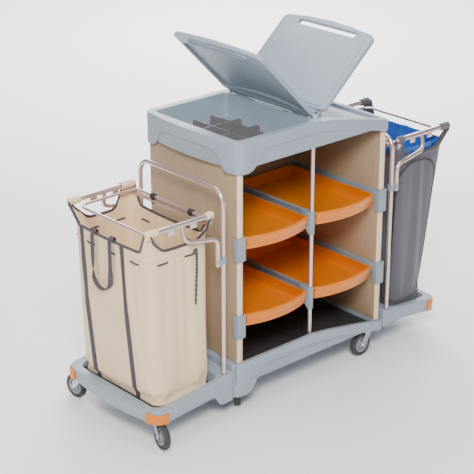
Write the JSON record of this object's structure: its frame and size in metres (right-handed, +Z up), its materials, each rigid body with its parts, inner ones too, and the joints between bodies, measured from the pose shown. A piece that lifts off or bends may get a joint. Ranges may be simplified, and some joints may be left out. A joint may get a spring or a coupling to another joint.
{
  "type": "housekeeping cart",
  "caption": "Housekeeping cart with a tray cabinet, a lidded top, and a laundry bag hung on a platform at each end, on swivel casters.",
  "frame": {"origin": "on the floor, under the middle of the footprint", "axes": "+X along the cart towards the grey bag, -Y towards the open shelves, +Z up"},
  "size_m": [1.5758, 0.6117, 1.3556],
  "materials": {
    "grey_plastic": "satin moulded",
    "pale_panel": "smooth satin panel",
    "dark_floor": "fine textured mat",
    "chrome_tube": "polished tube",
    "clip_grey": "satin moulded",
    "orange_plastic": "smooth moulded",
    "divider_grey": "matt moulded",
    "beige_fabric": "woven coated bag cloth",
    "grey_fabric": "woven coated bag cloth",
    "blue_liner": "thin liner film",
    "webbing": "woven webbing",
    "tyre_rubber": "matt",
    "hub_plastic": "moulded",
    "steel": "zinc plated"
  },
  "bodies": {
    "cart": {"arch_left": "chrome_tube", "arch_right": "chrome_tube", "back_panel": "pale_panel", "bag_frame_left": "chrome_tube", "bag_frame_right": "chrome_tube", "bag_left": "beige_fabric", "bag_liner_right": "blue_liner", "bag_right": "grey_fabric", "base_tray": "grey_plastic", "bumper_left_back": "orange_plastic", "bumper_left_front": "orange_plastic", "bumper_right_back": "orange_plastic", "bumper_right_front": "orange_plastic", "centre_post_back": "chrome_tube", "centre_post_front": "chrome_tube", "divider_insert": "divider_grey", "drawstring_tail": "webbing", "floor_liner": "dark_floor", "handle_loop": "webbing", "lid_hinge_rod_left": "steel", "lid_hinge_rod_right": "steel", "platform_left": "grey_plastic", "platform_liner_left": "dark_floor", "platform_right": "grey_plastic", "rail_centre_lower": "clip_grey", "rail_centre_upper": "clip_grey", "rail_left_lower": "clip_grey", "rail_left_upper": "clip_grey", "rail_right_lower": "clip_grey", "rail_right_upper": "clip_grey", "side_panel_left": "pale_panel", "side_panel_right": "pale_panel", "top_tray": "grey_plastic"},
    "lid_left": {"lid_left": "grey_plastic"},
    "lid_right": {"lid_right": "grey_plastic"},
    "bag_ring_left": {"bag_ring_left": "chrome_tube"},
    "bag_ring_right": {"bag_ring_right": "chrome_tube"},
    "tray_left_lower": {"tray_left_lower": "orange_plastic"},
    "tray_left_upper": {"tray_left_upper": "orange_plastic"},
    "tray_right_lower": {"tray_right_lower": "orange_plastic"},
    "tray_right_upper": {"tray_right_upper": "orange_plastic"},
    "caster_front_left_swivel": {"caster_front_left_fork": "steel"},
    "caster_front_left_wheel": {"caster_front_left_hub": "hub_plastic", "caster_front_left_tyre": "tyre_rubber"},
    "caster_front_right_swivel": {"caster_front_right_fork": "steel"},
    "caster_front_right_wheel": {"caster_front_right_hub": "hub_plastic", "caster_front_right_tyre": "tyre_rubber"},
    "caster_back_left_swivel": {"caster_back_left_fork": "steel"},
    "caster_back_left_wheel": {"caster_back_left_hub": "hub_plastic", "caster_back_left_tyre": "tyre_rubber"},
    "caster_back_right_swivel": {"caster_back_right_fork": "steel"},
    "caster_back_right_wheel": {"caster_back_right_hub": "hub_plastic", "caster_back_right_tyre": "tyre_rubber"},
    "caster_platform_front_swivel": {"caster_platform_front_fork": "steel"},
    "caster_platform_front_wheel": {"caster_platform_front_hub": "hub_plastic", "caster_platform_front_tyre": "tyre_rubber"},
    "caster_platform_back_swivel": {"caster_platform_back_fork": "steel"},
    "caster_platform_back_wheel": {"caster_platform_back_hub": "hub_plastic", "caster_platform_back_tyre": "tyre_rubber"}
  },
  "joints": [
    {"name": "lid_left_hinge", "type": "hinge", "parent": "cart", "child": "lid_left", "pos_m": [0.01792, -0.00004, 1.065], "axis": [0, 1, 0], "range_deg": [-45, 45]},
    {"name": "lid_right_hinge", "type": "hinge", "parent": "cart", "child": "lid_right", "pos_m": [0.05992, -0.00004, 1.065], "axis": [0, 1, 0], "range_deg": [-48.5, 54]},
    {"name": "tray_left_lower_slide", "type": "slide", "parent": "cart", "child": "tray_left_lower", "axis": [0, -1, 0], "range_m": [0, 0.3]},
    {"name": "tray_left_upper_slide", "type": "slide", "parent": "cart", "child": "tray_left_upper", "axis": [0, -1, 0], "range_m": [0, 0.3]},
    {"name": "tray_right_lower_slide", "type": "slide", "parent": "cart", "child": "tray_right_lower", "axis": [0, -1, 0], "range_m": [0, 0.3]},
    {"name": "tray_right_upper_slide", "type": "slide", "parent": "cart", "child": "tray_right_upper", "axis": [0, -1, 0], "range_m": [0, 0.3]},
    {"name": "bag_ring_left_hinge", "type": "hinge", "parent": "cart", "child": "bag_ring_left", "pos_m": [-0.47008, -0.00004, 0.793], "axis": [0, 1, 0], "range_deg": [0, 90]},
    {"name": "bag_ring_right_hinge", "type": "hinge", "parent": "cart", "child": "bag_ring_right", "pos_m": [0.50192, -0.00004, 0.847], "axis": [0, -1, 0], "range_deg": [0, 90]},
    {"name": "caster_front_left_swivel_joint", "type": "hinge", "parent": "cart", "child": "caster_front_left_swivel", "pos_m": [-0.29608, -0.16804, 0.11], "axis": [0, 0, 1], "continuous": true},
    {"name": "caster_front_left_wheel_joint", "type": "hinge", "parent": "caster_front_left_swivel", "child": "caster_front_left_wheel", "pos_m": [-0.31883, -0.19331, 0.048], "axis": [0.7431, -0.6691, 0], "continuous": true},
    {"name": "caster_front_right_swivel_joint", "type": "hinge", "parent": "cart", "child": "caster_front_right_swivel", "pos_m": [0.35192, -0.21904, 0.11], "axis": [0, 0, 1], "continuous": true},
    {"name": "caster_front_right_wheel_joint", "type": "hinge", "parent": "caster_front_right_swivel", "child": "caster_front_right_wheel", "pos_m": [0.31792, -0.21904, 0.048], "axis": [0, -1, 0], "continuous": true},
    {"name": "caster_back_left_swivel_joint", "type": "hinge", "parent": "cart", "child": "caster_back_left_swivel", "pos_m": [-0.29608, 0.16796, 0.11], "axis": [0, 0, 1], "continuous": true},
    {"name": "caster_back_left_wheel_joint", "type": "hinge", "parent": "caster_back_left_swivel", "child": "caster_back_left_wheel", "pos_m": [-0.32012, 0.192, 0.048], "axis": [-0.7071, -0.7071, 0], "continuous": true},
    {"name": "caster_back_right_swivel_joint", "type": "hinge", "parent": "cart", "child": "caster_back_right_swivel", "pos_m": [0.35192, 0.21896, 0.11], "axis": [0, 0, 1], "continuous": true},
    {"name": "caster_back_right_wheel_joint", "type": "hinge", "parent": "caster_back_right_swivel", "child": "caster_back_right_wheel", "pos_m": [0.31794, 0.22014, 0.048], "axis": [-0.0349, -0.9994, 0], "continuous": true},
    {"name": "caster_platform_front_swivel_joint", "type": "hinge", "parent": "cart", "child": "caster_platform_front_swivel", "pos_m": [-0.72708, -0.22404, 0.11], "axis": [0, 0, 1], "continuous": true},
    {"name": "caster_platform_front_wheel_joint", "type": "hinge", "parent": "caster_platform_front_swivel", "child": "caster_platform_front_wheel", "pos_m": [-0.73473, -0.25717, 0.048], "axis": [0.9744, -0.225, 0], "continuous": true},
    {"name": "caster_platform_back_swivel_joint", "type": "hinge", "parent": "cart", "child": "caster_platform_back_swivel", "pos_m": [-0.72708, 0.22396, 0.11], "axis": [0, 0, 1], "continuous": true},
    {"name": "caster_platform_back_wheel_joint", "type": "hinge", "parent": "caster_platform_back_swivel", "child": "caster_platform_back_wheel", "pos_m": [-0.73064, 0.25777, 0.048], "axis": [-0.9945, -0.1045, 0], "continuous": true}
  ]
}
